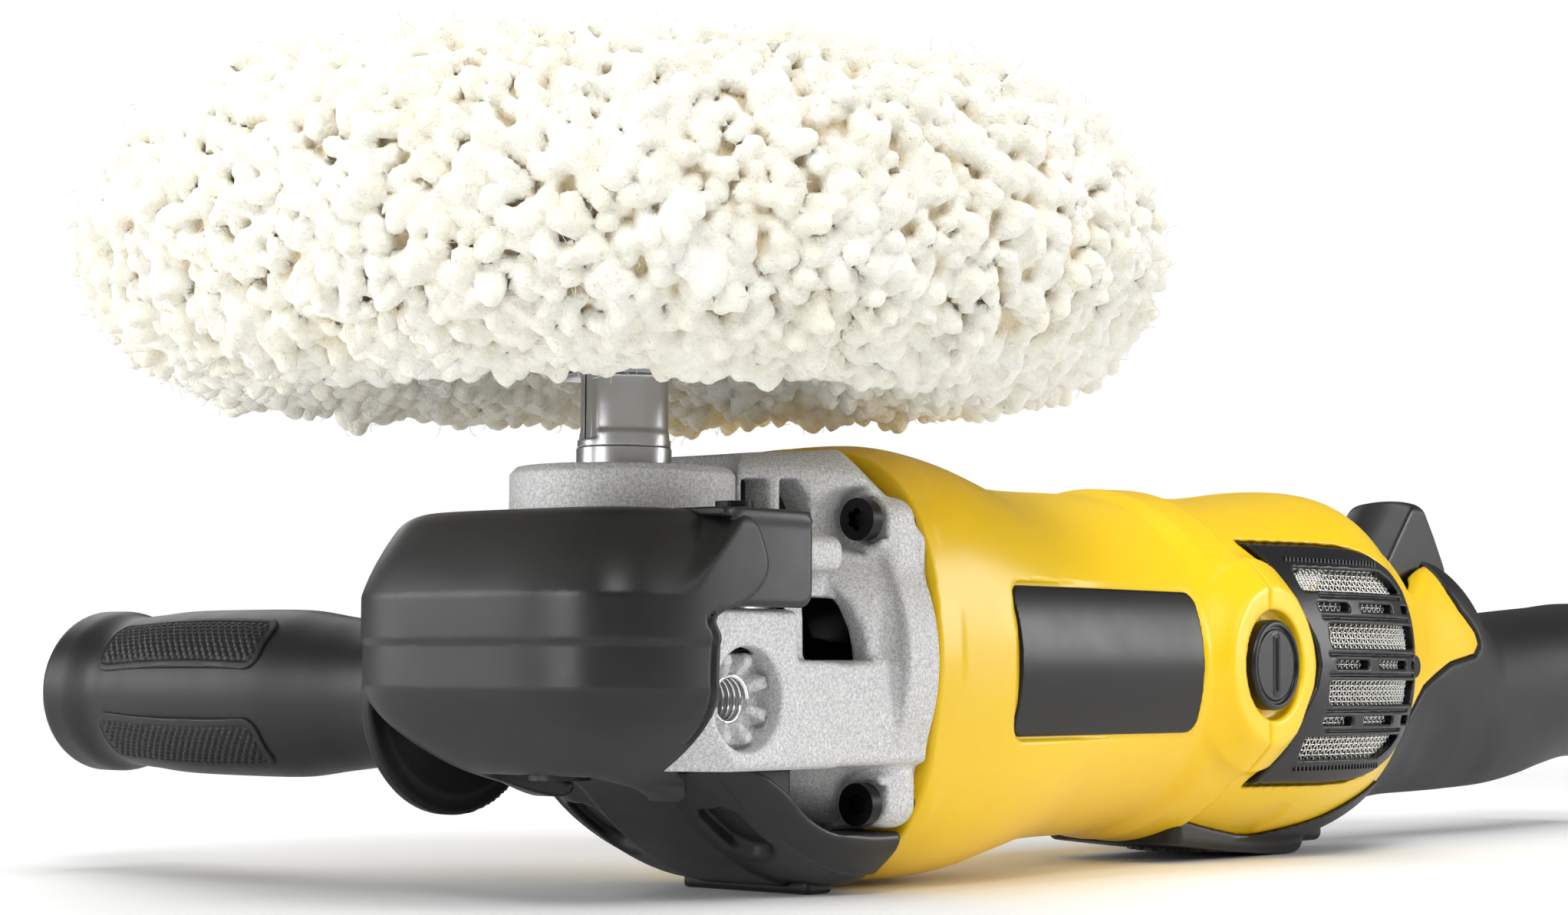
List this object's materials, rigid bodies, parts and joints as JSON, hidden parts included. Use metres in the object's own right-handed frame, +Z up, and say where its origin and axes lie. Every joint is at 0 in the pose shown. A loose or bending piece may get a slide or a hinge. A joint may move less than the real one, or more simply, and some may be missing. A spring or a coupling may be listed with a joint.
{
  "type": "rotary polisher",
  "caption": "Corded right-angle rotary polisher lying on its back, with a double-sided wool pad, bevel gear case, motor, side handle and trigger handle.",
  "frame": {"origin": "centre of the footprint's box, on the surface the tool lies on", "axes": "+Z up, from the hand rest to the wool pad, along the spindle; +X from the pad to the rear handle, along the motor; +Y towards the end of the side handle"},
  "size_m": [0.531, 0.2572, 0.1535],
  "materials": {
    "cast_aluminium": "sand-cast, fine grain",
    "bearing_steel": "ground",
    "black_boot": "satin moulded rubber",
    "black_screws": "black oxide",
    "yellow_housing": "satin-gloss glass-filled nylon",
    "lamination_steel": "stacked sheet",
    "copper": "enamelled copper",
    "black_nylon": "moulded nylon",
    "brass": "drawn",
    "carbon": "pressed carbon",
    "spring_steel": "drawn wire",
    "black_grip": "soft overmould",
    "woven_steel_mesh": "woven wire",
    "plate_black": "printed film, blank",
    "circuit_board": "potted board",
    "shaft_steel": "ground and turned",
    "adapter_steel": "plated, milled flats",
    "pad_board": "pressed fibre",
    "wool": "tufted twisted wool pile"
  },
  "bodies": {
    "root": {"gear_case": "cast_aluminium", "nose_plate": "cast_aluminium", "nose_plate_screws": "black_screws", "spindle_bearing": "bearing_steel", "spindle_tail_bearing": "bearing_steel", "gear_case_cover": "black_boot", "cover_liner": "black_boot", "cover_screws": "black_screws", "hand_rest": "black_boot", "rest_foot": "black_boot", "gear_case_screws": "black_screws", "motor_housing": "yellow_housing", "front_bearing": "bearing_steel", "rear_bearing": "bearing_steel", "stator_core": "lamination_steel", "field_coils": "copper", "fan_baffle": "black_nylon", "brush_holders": "brass", "carbon_brushes": "carbon", "brush_springs": "spring_steel", "brush_caps": "black_nylon", "handle_shell_left": "yellow_housing", "handle_shell_right": "yellow_housing", "handle_grip": "black_grip", "handle_screws": "black_screws", "intake_grille_left": "black_nylon", "intake_grille_right": "black_nylon", "intake_mesh_left": "woven_steel_mesh", "intake_mesh_right": "woven_steel_mesh", "grille_screws": "black_screws", "name_plates": "plate_black", "rear_bumper": "black_boot", "switch_module": "black_nylon", "speed_module": "circuit_board", "cord_gland": "black_grip", "cord_clamp": "black_nylon", "side_handle_stud": "shaft_steel", "side_handle_grip": "black_grip", "side_handle_panels": "black_grip", "side_handle_cap": "black_nylon", "spindle_lock_spring": "spring_steel"},
    "spindle": {"spindle": "shaft_steel", "ring_gear": "shaft_steel", "pad_adapter": "adapter_steel", "lower_pad_washer": "adapter_steel", "pad_core": "pad_board", "wool_pad": "wool", "upper_pad_washer": "adapter_steel", "pad_nut": "adapter_steel"},
    "armature": {"armature_shaft": "shaft_steel", "armature_core": "lamination_steel", "armature_windings": "copper", "commutator": "copper", "fan": "black_nylon", "pinion": "shaft_steel"},
    "trigger": {"trigger": "black_nylon"},
    "lock_on": {"lock_on_button": "black_nylon"},
    "spindle_lock": {"spindle_lock_button": "black_nylon"},
    "dial": {"speed_dial": "black_nylon"}
  },
  "joints": [
    {"name": "spindle_spin", "type": "hinge", "parent": "root", "child": "spindle", "pos_m": [-0.1615, -0.02465, 0.046], "axis": [0, 0, 1], "continuous": true},
    {"name": "armature_spin", "type": "hinge", "parent": "root", "child": "armature", "pos_m": [-0.1615, -0.02465, 0.046], "axis": [1, 0, 0], "continuous": true},
    {"name": "trigger_pull", "type": "slide", "parent": "root", "child": "trigger", "axis": [0.333, 0, -0.9429], "range_m": [0, 0.007], "stiffness_N_per_m": 800, "springref_m": -0.004},
    {"name": "lock_on_push", "type": "slide", "parent": "root", "child": "lock_on", "axis": [0, -1, 0], "range_m": [0, 0.002], "stiffness_N_per_m": 400, "springref_m": -0.002},
    {"name": "spindle_lock_push", "type": "slide", "parent": "root", "child": "spindle_lock", "axis": [0, 0, 1], "range_m": [0, 0.0055], "stiffness_N_per_m": 500, "springref_m": -0.003, "deforming": ["spindle_lock_spring"]},
    {"name": "speed_dial_turn", "type": "hinge", "parent": "root", "child": "dial", "pos_m": [0.0415, -0.02465, 0.002], "axis": [0, 0, 1], "range_deg": [0, 300]}
  ],
  "couplings": [
    {"joint": "armature_spin", "follows": "spindle_spin", "ratio": -5}
  ]
}
